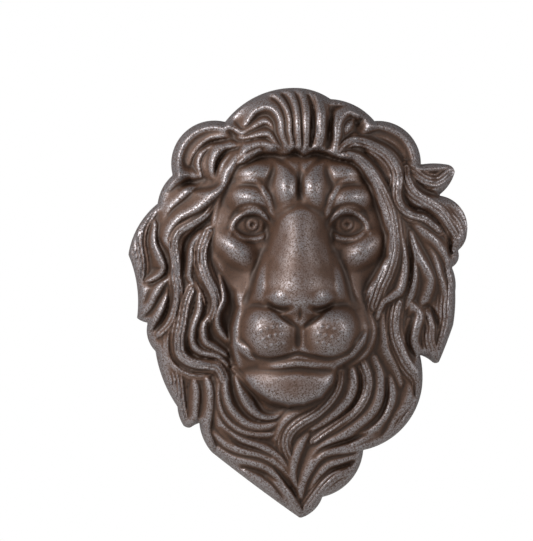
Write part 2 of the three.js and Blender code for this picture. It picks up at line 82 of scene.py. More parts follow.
# locks of the mane, each a line along its crest: half width, rise, then x, z from root to tip
maneLocks = [
    # crown tuft
    (1.0, 4.0, [(-17.5, 13.6), (-14, 16.2), (-11, 17.4), (-8, 18.3), (-5.8, 18.6)]),
    (1.1, 8.0, [(-3.2, 7.4), (-4.2, 10.3), (-4.4, 12.8), (-5.2, 14.8), (-6.4, 16), (-8, 16.3), (-9.8, 15.7),
                (-10.9, 14.6), (-12.2, 12.4)]),
    (0.8, 8.0, [(-1.6, 7.3), (-2.2, 10.5), (-2.2, 13), (-2.7, 15.3), (-3.6, 17.1), (-4.8, 18.6), (-6.5, 19.8)]),
    (0.9, 8.5, [(0.0, 7.2), (-0.3, 11), (-0.5, 15), (-1.2, 18), (-2.4, 20.2)]),
    (1.0, 8.5, [(1.5, 7.2), (1.6, 11), (1.6, 15), (1.1, 18), (0.2, 20.6)]),
    (1.4, 9.5, [(4.4, 7.4), (5, 10), (5, 13.4), (4.5, 16.6), (3.3, 19.6)]),
    (1.1, 7.5, [(8.1, 6.2), (8.6, 9.6), (8.9, 12.4), (9.8, 14.3), (11.4, 15.3), (13.2, 14.5)]),
    (0.8, 5.5, [(10.4, 9.8), (10.9, 11.6), (12.2, 12.9)]),
    (1.2, 4.5, [(6.4, 17.4), (9.6, 17.6), (13.4, 16.2), (17, 13.2)]),
    (0.8, 4.5, [(13.6, 9.8), (15.6, 11.2), (17.6, 13)]),
    # left fringe and ear
    (0.8, 5.0, [(-5.6, 10), (-6.8, 12.3), (-8.2, 12.9), (-10.2, 11.9), (-12, 10.8), (-13.6, 10.4), (-16.4, 12.3)]),
    (0.7, 5.5, [(-4.8, 7.1), (-6.1, 8.6), (-7.4, 9.9), (-9.8, 9.7), (-12, 9.2), (-14.4, 9.2)]),
    (0.7, 4.5, [(-14.6, 9.2), (-17.5, 9.6), (-20.4, 9), (-23.2, 7.4), (-24.8, 5.4), (-25.4, 3.4)]),
    (0.6, 4.5, [(-16.6, 8.5), (-20, 7.9), (-22.2, 6.2), (-23.2, 3.7), (-22.6, 0.6)]),
    (0.6, 4.0, [(-18.6, 7.2), (-20.8, 5.9), (-21.8, 3.6), (-21.2, 1.5), (-20.4, 0)]),
    (0.9, 6.5, [(-13.2, 7.4), (-16.1, 7.4), (-18.2, 6.6), (-19.5, 4.8), (-19.9, 2.4), (-19.3, -0.4)]),
    (0.7, 5.5, [(-13.4, 6.9), (-15.8, 5.3), (-17.4, 3.4), (-18.3, 1), (-19.4, -1.6), (-21.2, -3.4)]),
    (1.1, 7.5, [(-6.2, 7.1), (-9, 7.7), (-12, 6.6), (-14.4, 4.4), (-16.4, 1.5), (-17.6, -2), (-19.8, -4.2),
                (-23.7, -7.2), (-27.6, -9.2), (-30, -12.4), (-30.4, -15.4), (-29.4, -18.4)]),
    (0.8, 6.5, [(-9.3, 6.3), (-12.4, 4.8), (-14.8, 2.6), (-16.4, -0.6), (-17.8, -4.2), (-19, -8), (-19.6, -11)]),
    # left side
    (1.0, 4.5, [(-23.6, 0.6), (-26, 1), (-28.2, 0), (-30, -2.2)]),
    (0.9, 4.5, [(-22.6, -1), (-24.8, -2.2), (-27, -4.2), (-29.6, -6.6), (-31.4, -10)]),
    (0.8, 3.5, [(-29.8, 0.4), (-31.6, -1.4), (-32.6, -4)]),
    (1.2, 7.0, [(-19.4, -5.8), (-21.6, -8.6), (-24.6, -10.5), (-27.6, -12.2), (-28.8, -15), (-28.3, -19),
                (-28.2, -22.4), (-27.7, -26), (-28.2, -30), (-29.6, -33.6), (-32, -36)]),
    (1.8, 5.0, [(-34.4, -7.4), (-36.6, -11), (-37.2, -15), (-36.6, -19.6), (-37.2, -24)]),
    (0.7, 6.0, [(-33.2, -10.6), (-33.4, -14.4), (-32, -18), (-30.9, -20.6), (-32.4, -22.8), (-35, -23.8)]),
    (0.8, 6.0, [(-29.2, -22.4), (-31.4, -24.2), (-33.2, -26.8), (-34.6, -29.6), (-37, -31.6)]),
    (0.9, 4.5, [(-33.4, -24.4), (-35.4, -26), (-36.4, -29)]),
    (0.8, 5.5, [(-30.2, -26.6), (-31.6, -30), (-33, -32.6), (-35.4, -35.8)]),
    (1.6, 8.0, [(-20.4, -12.4), (-21.8, -16), (-22, -19.4), (-21, -22.8), (-19.6, -25.6), (-18.9, -28.8),
                (-20, -32.2)]),
    (0.7, 6.0, [(-23, -12.2), (-24.6, -15.4), (-24.8, -19), (-25.2, -22), (-24, -25)]),
    (0.6, 6.5, [(-18.2, -22.4), (-17.5, -25.4), (-17.3, -28), (-18.6, -31), (-18.4, -34), (-16.4, -37)]),
    # left lower
    (1.7, 8.0, [(-24.6, -25.6), (-25.9, -29), (-26.6, -33), (-27.4, -37), (-27, -40.4), (-24.6, -42.3),
                (-21.4, -42.6), (-18.6, -43.2), (-17.2, -46)]),
    (0.8, 7.0, [(-22.8, -26.6), (-22.8, -30.4), (-24.2, -34), (-24.4, -37.6), (-22.4, -39.8), (-18.8, -40.6),
                (-16.6, -42.6)]),
    (0.7, 6.5, [(-20.4, -30.6), (-21.8, -34), (-21.4, -37.2), (-19.2, -38.8), (-17, -40.2)]),
    (1.0, 4.0, [(-31, -37.6), (-31, -41), (-29.2, -45)]),
    (1.6, 4.5, [(-28.6, -42.4), (-27.6, -46.4), (-27.4, -50.6), (-26.6, -56)]),
    (0.9, 5.5, [(-24.4, -45.2), (-23.6, -49), (-23.8, -53.4), (-24.4, -57)]),
    (1.0, 6.0, [(-21.4, -45), (-20.4, -48.6), (-20.4, -53), (-21.2, -57.4), (-20, -61.4)]),
    # beard, left
    (1.2, 6.0, [(-15, -43.6), (-12.8, -45.8), (-9.7, -48.6), (-6.6, -50.6), (-3.6, -51.8), (-1, -53)]),
    (0.9, 6.0, [(-14.6, -45.6), (-13.4, -49.4), (-11.4, -52.8), (-8.6, -54.6), (-5.8, -54.6), (-3.2, -53)]),
    (1.0, 6.5, [(-16.8, -44.6), (-16.8, -48.6), (-15.6, -52.6), (-12.6, -55.8), (-9, -56.8), (-5, -56)]),
    (0.7, 6.0, [(-18.4, -46.4), (-18.4, -51.2), (-16.8, -55), (-13.2, -57.8), (-9.2, -58.6), (-5.4, -58.4)]),
    (1.0, 6.0, [(-19.4, -50), (-18.6, -55), (-16, -58.4), (-12.8, -60.2), (-9.2, -61.5), (-6, -63),
                (-3.8, -65), (-2, -67.6)]),
    (1.1, 5.5, [(-20.4, -58), (-17, -61.2), (-13.3, -62.8), (-9.4, -63.4), (-6.4, -64.8), (-4, -67.4),
                (-2.2, -70.4)]),
    (0.8, 5.0, [(-18.6, -62.4), (-15.4, -64.4), (-11.4, -65.4), (-7.8, -66.6), (-5.2, -69), (-2.6, -72.4)]),
    (1.0, 5.0, [(-12.6, -67.6), (-9, -69.6), (-6, -72), (-4, -75)]),
    (0.9, 5.0, [(-7, -68.8), (-4.4, -70.8), (-2, -73.2), (0, -76.6)]),
    # right top
    (1.3, 7.5, [(8.8, 6.4), (10.8, 8.2), (13.6, 8.7), (16.6, 7.8), (19.6, 6), (21.8, 3.4), (22.8, 0.4),
                (22.4, -3.4), (23, -6), (25.6, -8), (29, -9), (32.2, -11.4)]),
    (2.2, 7.5, [(11.2, 5.4), (13.7, 4.5), (15.8, 2.4), (17.6, -0.6), (19.4, -3.8), (20.9, -7.6), (21.6, -12),
                (21.8, -16.4), (20.6, -21), (18.8, -25), (17.2, -29.4)]),
    (0.8, 7.0, [(23.4, -12.4), (24, -16.6), (24.3, -21), (23.4, -25.4), (21, -27.4), (19, -28.6), (17.8, -32)]),
    (1.6, 7.0, [(24.6, 2.6), (24.8, 0), (26.2, -2.8), (29, -4.8), (32.6, -7.2), (35, -10.4), (36.6, -13)]),
    (1.5, 4.5, [(33, -6.8), (36, -9.6), (37.4, -13), (36.2, -16.2)]),
    (1.4, 5.0, [(25.4, 1.8), (28.6, -0.4), (32, -0.8), (35, 1.6)]),
    (0.8, 4.5, [(27, 2.4), (30.4, 2.4), (34.6, 3)]),
    (1.0, 5.5, [(25.4, -9.6), (28.4, -11.8), (31.4, -14.2), (33.6, -17.4), (35, -20)]),
    (1.1, 6.0, [(25.6, -12.6), (26.8, -16.4), (28.8, -20), (30.3, -23), (29.8, -26), (28.6, -28.6)]),
    (0.8, 5.5, [(26.2, -17.6), (26.6, -22), (25.8, -26.4), (24.6, -29.6)]),
    (0.8, 4.5, [(28.6, -14.2), (31.2, -17.8), (32.4, -22), (33.6, -25.4), (33.2, -28.6)]),
    (1.2, 4.5, [(34.2, -20), (35, -24.6), (34.6, -29.4), (34.2, -34), (32.6, -39), (32, -42)]),
    # right lower
    (1.0, 6.5, [(15.6, -30.6), (16.8, -34.4), (16.2, -37.4), (14.4, -40.4), (11.2, -43)]),
    (1.5, 7.0, [(22.8, -28.6), (22, -32.6), (22.2, -36.4), (23.6, -40), (25.2, -43), (27.6, -46), (27.8, -50)]),
    (1.0, 6.0, [(19, -31.4), (19.4, -35.4), (20.2, -39.8), (22.2, -43.4), (23.4, -47)]),
    (1.1, 6.0, [(25.2, -28.4), (27.8, -31.4), (27, -34.6), (26.6, -37.6), (28.2, -40.4)]),
    (1.3, 5.0, [(29.6, -30.4), (30.4, -34), (30.2, -37.4), (31.8, -41.8)]),
    (1.0, 5.0, [(24.6, -45.4), (25.6, -49), (24.6, -52.6), (22, -55.4), (20.8, -58.6)]),
    (1.3, 4.5, [(28, -48), (27, -52), (24.4, -55), (22.4, -58.4)]),
    (1.0, 5.5, [(21, -45.6), (21.6, -49.6), (20.4, -53.6), (17.8, -57), (14.4, -60), (11, -62.2)]),
    (1.1, 6.0, [(17.2, -41), (18.6, -45), (18.6, -49.4), (17, -53.4), (13.8, -56.4), (10.4, -58.8),
                (6.6, -60.8), (3.8, -63)]),
    # beard, right
    (1.2, 6.0, [(14.4, -41.8), (15.8, -45.6), (15.4, -49.6), (13.2, -53.2), (10, -55.8), (6.4, -58.2),
                (3.4, -60.4)]),
    (1.1, 6.5, [(12, -43.6), (12.6, -47), (11.4, -50.6), (8.8, -53.4), (6, -55.6), (3, -57.4)]),
    (1.5, 7.0, [(9.4, -44.4), (8.8, -48), (6.6, -51.4), (3.6, -54), (0.2, -56), (-2.2, -58.2), (-3, -61),
                (-2, -64)]),
    (1.0, 6.5, [(7.8, -44.6), (6.6, -48.6), (4.2, -51.2), (0.8, -53), (-2, -54.6), (-4.2, -57), (-5.2, -59.6)]),
    (1.0, 5.5, [(1.8, -58.8), (0.4, -61), (-0.8, -64), (-1.4, -67.4), (-0.8, -70.6)]),
    (1.1, 5.5, [(14.6, -61.8), (11, -62.6), (7.4, -62.8), (4.6, -64), (2.6, -66.6), (1, -70), (0.2, -73.4)]),
    (0.8, 5.0, [(13.6, -64), (10, -65.2), (6.8, -66.2), (4.4, -68.4), (2.6, -71.4)]),
    (1.2, 5.0, [(11.4, -67.6), (8.4, -68.8), (6, -70.8), (3.8, -73.6), (2, -76)]),
]

# dark grooves cut between the locks: half width, depth, then x, z
maneGrooves = [
    (0.8, 2.5, [(2.8, 19.5), (3.3, 16), (3.1, 11.8), (2.9, 7.3)]),
    (1.1, 3.0, [(7.3, 15), (6.7, 11.8), (6.9, 7.6)]),
    (0.8, 2.5, [(7.4, 15.8), (10, 16.8), (12.6, 16.3), (15.1, 14.9), (17, 13.5)]),
    (0.9, 2.5, [(12.6, 12.2), (13.4, 13.4)]),
    (0.8, 2.5, [(15.9, 9.3), (19.3, 8.4), (21.8, 7), (23.5, 5.1), (24.6, 3)]),
    (0.8, 2.0, [(10.6, 6.4), (13.7, 6.3), (16.2, 4.6), (18, 2.4), (19.6, 0), (20.4, -2.4)]),
    (0.8, 2.5, [(27.1, -1.2), (28.6, -2.8), (31, -3.6), (33, -3.6)]),
    (0.8, 2.5, [(23.7, -3.4), (24.6, -5.8), (26.6, -7.2), (29, -7.6), (31.2, -9.2), (33.6, -12)]),
    (0.7, 2.5, [(34.6, -12.9), (34.9, -15), (34.8, -18)]),
    (0.8, 2.0, [(24.8, -14.6), (25.4, -18.6), (25.2, -22.6), (24.4, -26)]),
    (0.8, 2.5, [(28.8, -28.9), (30.9, -31), (31.8, -34)]),
    (0.8, 2.5, [(26.2, -31), (25.2, -34.8), (24.9, -38), (26, -41), (28, -43)]),
    (0.7, 2.0, [(19.7, -46.3), (19.9, -50.4), (18.4, -54.6), (15.5, -57.6)]),
    (0.7, 2.0, [(17.2, -58.4), (12.6, -59.8), (8.8, -61), (5.4, -62.2), (3.5, -64)]),
    (0.8, 2.5, [(13.1, -64.6), (10.2, -66.1), (6.9, -67)]),
    (0.7, 2.0, [(13.6, -44.6), (13.8, -48.6), (12, -52.2), (9.4, -54.8)]),
    (0.8, 2.0, [(-12, -46.6), (-10.2, -50), (-8.4, -53.2), (-5.6, -53.8), (-3.6, -52.6)]),
    (0.7, 2.0, [(-18, -57.4), (-13.8, -60.9), (-9.8, -62.3), (-6.8, -63.8)]),
    (0.8, 2.5, [(-5.4, -66.4), (-3.4, -68.9), (-1.6, -71.4), (0, -74.4)]),
    (0.9, 3.0, [(-29.3, -36.2), (-29.5, -39.8), (-28.2, -42.2), (-25.2, -43.9), (-21.6, -44.6), (-19.3, -45.4)]),
    (0.8, 2.5, [(-32.4, -14.2), (-30.7, -16.8), (-30.1, -19.6), (-30.9, -22.2), (-34.4, -24.4)]),
    (0.9, 3.0, [(-21.1, -9.9), (-23.7, -12.1), (-25.6, -14.6), (-26.4, -18), (-26.4, -21.4)]),
    (0.8, 2.5, [(-29.6, -25), (-29.7, -28), (-31, -31.6), (-33, -34.4)]),
    (0.8, 2.5, [(-23.4, -19.8), (-23.8, -22.4), (-22, -25.4), (-20.8, -28.4), (-22, -32)]),
    (0.7, 2.0, [(-16.6, 6.2), (-18.6, 3.7), (-19.3, 0.8)]),
    (0.8, 2.5, [(-22, -0.4), (-23.9, -1), (-25.6, -1), (-27.4, -2.2)]),
    (0.7, 2.0, [(-25.9, -37), (-25, -39.8), (-22.6, -41.2), (-19.2, -41.8)]),
    (0.8, 2.5, [(-17.2, 8.6), (-20.4, 8.4), (-22.6, 7)]),
]

# edge of the hollow in the back, as arcs of the same kind
hollowArcs = [
    (14.5, 9.8, 1), (24.5, -1.5, 1.8), (31.2, -12, 1), (31.4, -26, 0.4), (23.6, -44, 0.3), (12.8, -58.6, 1.5),
    (0.8, -73, 1.4), (-18, -59, 0.6), (-29.5, -36, 0.8), (-34.6, -20, 0.4), (-27.5, -4, 1.2), (-16.5, 8.8, 2),
    (0.2, 17.4, 1.5),
]

# border between the face and the hair that frames it
faceBorder = [
    (0.5, 6.1), (6.5, 5.9), (10.5, 4.8), (13.6, 2.4), (16.2, -1.5), (18.3, -7), (20.1, -13), (19.8, -18),
    (17.2, -22.6), (15, -26), (15.2, -30.2), (16.2, -34), (15.4, -38), (12.6, -41), (8.8, -43.4), (7.6, -46.8),
    (5, -50), (1, -51.8), (-2.6, -52), (-6.8, -50.8), (-11, -47.9), (-14.6, -43.4), (-15.8, -38.4),
    (-15.6, -34), (-14.5, -29.5), (-15.2, -26), (-17.8, -22.6), (-20.3, -18.5), (-20.2, -13.5), (-19, -7),
    (-17, -2), (-14.2, 2.7), (-9, 5.4), (-5.5, 6.1),
]

# nose in profile (z, relief) and its half width down the bridge (z, half width)
noseTop = [
    (-44, 25), (-40, 40), (-37, 46), (-34, 49.5), (-31, 53), (-28.8, 58.2), (-25.8, 59.8), (-20, 55.5),
    (-14, 50), (-9.5, 45), (-6.8, 40.5), (-4, 34), (0, 26), (6, 18),
]
noseHalf = [
    (-38, 1.6), (-35, 2), (-32.5, 3), (-30, 4.2), (-26, 4.6), (-18.7, 3.8), (-13, 3.2), (-9, 3.3), (-5, 4),
    (0, 4.4),
]


def arcPoints(arcs, step):  # places along the arcs, about a step apart
    points = []
    x0, z0 = arcs[-1][:2]
    for x1, z1, bulge in arcs:
        dx, dz = x1 - x0, z1 - z0
        chord, size = math.hypot(dx, dz), abs(bulge)
        count = max(2, round(chord / step))
        radius = (chord * chord / 4 + size * size) / (2 * size)
        for i in range(count):
            off = math.sqrt(radius**2 - ((i / count - 0.5) * chord) ** 2) - (radius - size)
            off = math.copysign(off, bulge) / chord
            points.append((x0 + dx * i / count - dz * off, z0 + dz * i / count + dx * off))
        x0, z0 = x1, z1
    return np.array(points)


def nearRing(x, z, ring, reach=6):  # depth inside a closed ring, up to reach, and the nearest place on it
    order = np.argsort(z)
    xs, zs = x[order], z[order]
    least = np.full(xs.shape, float(reach))
    inside = np.zeros(xs.shape, bool)
    px, pz = xs.copy(), zs.copy()
    for (ax, az), (bx, bz) in zip(np.roll(ring, 1, 0), ring):
        i, j = np.searchsorted(zs, (min(az, bz) - reach, max(az, bz) + reach))
        dx, dz = bx - ax, bz - az
        t = np.clip(((xs[i:j] - ax) * dx + (zs[i:j] - az) * dz) / (dx * dx + dz * dz), 0, 1)
        qx, qz = ax + t * dx, az + t * dz
        distance = np.hypot(xs[i:j] - qx, zs[i:j] - qz)
        closer = distance < least[i:j]
        least[i:j] = np.where(closer, distance, least[i:j])
        px[i:j], pz[i:j] = np.where(closer, qx, px[i:j]), np.where(closer, qz, pz[i:j])
        if az != bz:
            i, j = np.searchsorted(zs, (min(az, bz), max(az, bz)))
            inside[i:j] ^= xs[i:j] < ax + (zs[i:j] - az) * dx / dz
    back = np.argsort(order)
    return np.where(inside, least, -least)[back], px[back], pz[back]


def nearLine(x, z, line):  # distance from a line, share of its length, side
    line = np.asarray(line, float)
    total = np.hypot(*(line[1:] - line[:-1]).T).sum()
    least = np.full(x.shape, np.inf)
    share, side, done = np.zeros(x.shape), np.zeros(x.shape), 0
    for (ax, az), (bx, bz) in zip(line[:-1], line[1:]):
        dx, dz = bx - ax, bz - az
        length = math.hypot(dx, dz)
        t = np.clip(((x - ax) * dx + (z - az) * dz) / length**2, 0, 1)
        ox, oz = x - ax - t * dx, z - az - t * dz
        distance = np.hypot(ox, oz)
        closer = distance < least
        least = np.where(closer, distance, least)
        share = np.where(closer, (done + t * length) / total, share)
        side = np.where(closer, np.sign(dx * oz - dz * ox), side)
        done += length
    return least, share, side


def smoothLine(line, parts=4):  # a curve through the places, each stretch in parts
    p = np.asarray(line, float)
    q = np.vstack([2 * p[0] - p[1], p, 2 * p[-1] - p[-2]])
    places = []
    for i in range(1, len(q) - 2):
        for t in np.arange(parts) / parts:
            places.append(q[i] + (q[i + 1] - q[i - 1]) * t / 2
                          + (q[i - 1] - 2.5 * q[i] + 2 * q[i + 1] - 0.5 * q[i + 2]) * t**2
                          + (1.5 * (q[i] - q[i + 1]) + 0.5 * (q[i + 2] - q[i - 1])) * t**3)
    return np.array(places + [p[-1]])


def ramp(a, b, v):  # from 0 at a to 1 at b, eased
    t = np.clip((v - a) / (b - a), 0, 1)
    return t * t * (3 - 2 * t)


def curve(rows, v):  # the value at v of a curve through the rows
    t = np.asarray(rows, float)
    a, b = t[:, 0], t[:, 1]
    slope = np.gradient(b, a)
    i = np.clip(np.searchsorted(a, v) - 1, 0, len(a) - 2)
    w = a[i + 1] - a[i]
    s = np.clip((v - a[i]) / w, 0, 1)
    return ((2 * s**3 - 3 * s**2 + 1) * b[i] + (s**3 - 2 * s**2 + s) * w * slope[i]
            + (3 * s**2 - 2 * s**3) * b[i + 1] + (s**3 - s**2) * w * slope[i + 1])


def smoothMax(a, b, k):  # the larger of two, blended where they are within k
    q = np.clip(0.5 + 0.5 * (a - b) / k, 0, 1)
    return b + (a - b) * q + k * q * (1 - q)


def mound(x, z, cx, cz, rx, rz, rise, turn=0):  # a round rise with its middle at cx, cz, turned by degrees
    c, s = math.cos(math.radians(turn)), math.sin(math.radians(turn))
    q = (((x - cx) * c + (z - cz) * s) / rx) ** 2 + (((z - cz) * c - (x - cx) * s) / rz) ** 2
    return rise * np.maximum(0, 1 - q) ** 2


def crease(x, z, line, width, depth):  # a soft line through the places that fades at both ends
    margin = width + 0.5
    low, high = np.min(line, 0) - margin, np.max(line, 0) + margin
    here = (x > low[0]) & (x < high[0]) & (z > low[1]) & (z < high[1])
    value = np.zeros(x.shape)
    distance, share, _ = nearLine(x[here], z[here], smoothLine(line))
    fade = np.sin(np.pi * (0.1 + 0.8 * share))
    value[here] = depth * fade * np.maximum(0, 1 - (distance / width) ** 2) ** 1.5
    return value


def swell(x, z):  # the dome that everything is carved on
    top, fall, halfWidth, halfHeight, middle = 34, 25, 39, 56, -24
    return top - fall * ((x / halfWidth) ** 2 + ((z - middle) / halfHeight) ** 2)


def faceRelief(x, z):
    ax = np.abs(x)
    h = swell(x, z) - 1
    # forehead, brows and the furrow between them
    h += mound(x, z, 0, -3, 19, 10.5, 8) + mound(ax, z, 3.2, -2.2, 3.2, 7, 4.6) - 2.5 * ramp(2, 6, z)
    h += mound(ax, z, 11, 1.2, 5.6, 3.4, 4.6, -8) - mound(x, z, 0, -2, 1.4, 6.4, 2.6)
    h -= mound(ax, z, 6.6, 0, 1.5, 4.6, 1.6, 12)
    h -= crease(ax, z, [(0.1, -0.6), (2.6, 2.4), (5.8, 5)], 1.1, 1.2)
    # swell of the muzzle, with a broad flat front about the mouth
    h += mound(x, z, 0, -31, 17, 17, 12)
    q = (x / 12.8) ** 2 + ((z + 36) / 8) ** 2
    h = smoothMax(h, 47.5 - 8.5 * np.minimum(q, 4) ** 1.2, 6)
    # eye sockets, lids and balls
    h -= mound(ax, z, 10.4, -11.4, 6.6, 4.7, 5.5, 8) + mound(ax, z, 6.4, -12.6, 2.4, 5, 2.5, -14)
    h += mound(ax, z, 12, -4.7, 6.2, 4.2, 6.5, 10) + mound(ax, z, 11, -10.9, 5.6, 3.7, 4)
    upperLid = [(15.9, -12.4), (14.9, -10.2), (13.2, -8.5), (10.9, -7.8), (8.7, -8.3), (7.1, -10.1), (6, -13)]
    h += crease(ax, z, upperLid, 0.85, 1.8)
    h += crease(ax, z, [(15.3, -11.6), (13.5, -13.4), (11, -14), (8.6, -13.6), (6.8, -12.1)], 0.8, 1.5)
    h -= crease(ax, z, [(15.9, -9.2), (13.6, -6.7), (10.8, -6.1), (8.2, -7), (6.6, -9.4)], 0.7, 1)
    h += crease(ax, z, [(15.2, -1.6), (12.4, -0.7), (9.4, -1.4), (7.2, -4.6), (6.1, -8.8)], 0.9, 1.2)
    opening = 1 - ((ax - 11) / 4.2) ** 2 - ((z + 10.9) / 2.5) ** 2
    iris = np.hypot(ax - 10.8, z + 10.7)
    h -= 0.8 * ramp(-0.05, 0.3, opening)
    h -= 0.55 * np.maximum(0, 1 - ((iris - 1.55) / 0.35) ** 2) * (opening > 0)
    h -= 1.2 * np.maximum(0, 1 - (iris / 0.7) ** 2)
    # cheeks
    h += mound(ax, z, 14.6, -16.4, 7, 4.2, 6.5, 37) - mound(ax, z, 15.6, -23.6, 4.2, 5.5, 2)
    # bridge and tip of the nose
    u = np.minimum(np.abs(x + 0.2) / curve(noseHalf, z), 4)
    h = smoothMax(h, curve(noseTop, z) - 4.4 * u**2, 5)
    h -= crease(x, z, [(-5.4, -12), (-4.6, -8.8), (0.1, -6.6), (4.6, -8.2), (5.4, -11.4)], 1.2, 0.8)
    h += crease(ax, z, [(8, -18), (8.8, -22), (9, -25.5), (10.4, -28.6)], 1.4, 1.6)
    h -= crease(ax, z, [(9.6, -19.5), (10.7, -23.5), (11.4, -26), (13, -29.5)], 1.2, 1.4)
    # muzzle pads and the groove between them
    q = ((ax - 6.3) / 4.6) ** 2 + ((z + 34.9) / 4.6) ** 2
    h = smoothMax(h, 53 - 4.6 * np.minimum(q, 5) ** 1.5, 4.5)
    h -= crease(x, z, [(-0.4, -33.6), (-0.4, -36), (-0.4, -38.8)], 1.1, 2.2)
    for row, count in ((-33.6, 4), (-35.4, 5), (-37.3, 4)):  # whisker roots
        for i in range(count):
            h += mound(ax, z, 4.2 + 1.4 * i + 0.3 * (row + 35.4), row - 0.12 * i * i, 0.5, 0.5, 0.8)
    # wings of the nose, nostrils and the edge of its pad
    h += mound(ax, z, 5.2, -27.2, 2.7, 2.3, 2)
    h -= crease(ax, z, [(7.4, -28.2), (5.8, -29.5), (3.8, -29.9), (2.2, -29.3)], 1.1, 4)
    h -= crease(ax, z, [(5.4, -30.6), (3.4, -32), (1.6, -33.2), (0.1, -34.2)], 0.8, 1.4)
    h -= mound(x, z, -0.1, -30.8, 0.7, 2.6, 0.8)
    # mouth, lips and chin
    mouthLine = [(-14, -37.4), (-12.4, -39.2), (-9.6, -40.7), (-6.4, -41.1), (-3.2, -40.6), (-0.4, -39.8),
                 (2.8, -40.5), (6.4, -41), (9.6, -40.2), (12.6, -38.2), (14.6, -35)]
    h -= crease(x, z, mouthLine, 0.8, 1.7)
    h += mound(x, z, -12.5, -39.2, 3.9, 1.5, 4, -43) + mound(x, z, 13.2, -38.2, 4.1, 1.5, 4, 57)
    q = ((x + 1.4) / 7.6) ** 2 + ((z + 46.8) / 4.9) ** 2
    h = smoothMax(h, 44.5 - 5 * np.minimum(q, 5) ** 1.3, 4)
    h += crease(x, z, [(-8.8, -42.9), (-4, -42.6), (-0.5, -42.2), (3.4, -42.6), (7.4, -42.8)], 1, 2)
    h -= crease(x, z, [(-6, -44.3), (-0.5, -43.8), (5, -44.5)], 1.2, 0.8)
    return h


def maneRelief(x, z):
    ground = swell(x, z) - 4 + mound(x, z, 1, 13, 14, 10, 6)
    crest = np.zeros(x.shape)
    pitch, strandCut = mask["strandPitch"] / unit, mask["strandDepth"] / lift
    gentle, steep, broad, blend = 0.8, 1.45, 1.1, 0.4  # a lock's two slopes, half width with strands, joint
    for half, rise, points in maneLocks:
        line = smoothLine(points, 3)
        low, high = line.min(0) - 4 * half - 2, line.max(0) + 4 * half + 2
        here = (x > low[0]) & (x < high[0]) & (z > low[1]) & (z < high[1])
        distance, share, side = nearLine(x[here], z[here], line)
        shape = np.sin(np.pi * (0.13 + 0.74 * share))
        width = (0.35 + 1.25 * half) * (0.55 + 0.55 * shape)
        # each lock falls steeply on its lower right and slopes off gently on the other side
        way = points[-1][0] - points[0][0], points[-1][1] - points[0][1]
        side *= math.copysign(1, 0.8 * way[1] + 0.6 * way[0])
        u = distance / width * np.where(side > 0, gentle, steep)
        body = (rise + 0.6) * (0.45 + 0.55 * shape) * (1 + u**2) ** -0.8
        if half > broad:
            strand = np.cos(2 * np.pi * (distance * side + 0.5 * share) / pitch)
            body -= strandCut * strand * np.clip(1.6 - u, 0, 1)
        crest[here] = smoothMax(crest[here], body, blend)
    for half, deep, points in maneGrooves:
        crest -= crease(x, z, points, 1.3 * half, deep)
    return ground + crest


def earRelief(x, z, depth):  # a dish with a rolled rim on the left, a petal on the right
    left = ramp(9.5, 7.5, np.hypot(x + 21.8, z - 5.6)) * ramp(-29.5, -27.5, x)
    dish = 1.8 * np.exp(-(((depth - 1.7) / 0.9) ** 2)) - 3.2 * ramp(1.8, 4.5, depth)
    u, v = ((x - 20.6) * 0.77 - (z - 7.6) * 0.64) / 9, ((x - 20.6) * 0.64 + (z - 7.6) * 0.77) / 6.4
    petal = 1.4 * np.exp(-(((depth - 1.7) / 0.8) ** 2)) - 1.6 * ramp(1.6, 4, depth)
    return left * dish + ramp(1.05, 0.8, np.hypot(u, v)) * petal


def frontHeight(x, z, depth):  # metres over the wall
    farthest = 60  # no place on the mask is farther from the face's border
    rollOut, rollIn = 2.2, 0.6  # how round the roll is at the carving and at the edge
    inside, _, _ = nearRing(x, z, np.array(faceBorder, float), farthest)
    inside -= 0.5 * (1 + np.sin(0.95 * x + 1.3 * np.sin(0.45 * x))) * ramp(2, 5, z)  # tips of the tufts
    # the tufts stand over the forehead and the right cheek and lie low at the left one
    fringe = 4 * ramp(-5, 3, z) + 2.5 * ramp(4, 12, x) * ramp(-34, -22, z)
    face = ramp(-0.9, 1.1 - 0.1 * fringe, inside)
    low = 2.5 * ramp(-5, -12, x) * ramp(-2, -8, z) * ramp(-50, -40, z)
    hair = maneRelief(x, z) + earRelief(x, z, depth) + (fringe - low) * np.exp(-np.maximum(0, -inside) / 5)
    h = lift * (faceRelief(x, z) * face + hair * (1 - face))
    roll = (1 - (1 - np.clip(depth * unit / mask["edgeRoll"], 0, 1)) ** rollOut) ** rollIn
    return mask["edge"] + (h - mask["edge"]) * roll


def hollowHeight(x, z, depth):  # follows the dome under the carving, one wall behind it
    roof = lift * (swell(x, z) - 5 + mound(x, z, 0, -30, 15, 13.5, 20)) - mask["wall"]
    return np.maximum(mask["hollowLeast"], roof)


def addObject(name, data):
    made = bpy.data.objects.new(name, data)
    bpy.context.scene.collection.objects.link(made)
    return made


def addMesh(name, bm):  # an object of the bmesh, which is freed
    mesh = bpy.data.meshes.new(name)
    bm.to_mesh(mesh)
    bm.free()
    return addObject(name, mesh)


def carved(verts):  # x and z of the vertices in hundredths of the mask's height
    co = np.array([v.co for v in verts]) / unit
    return co[:, 0], co[:, 2]


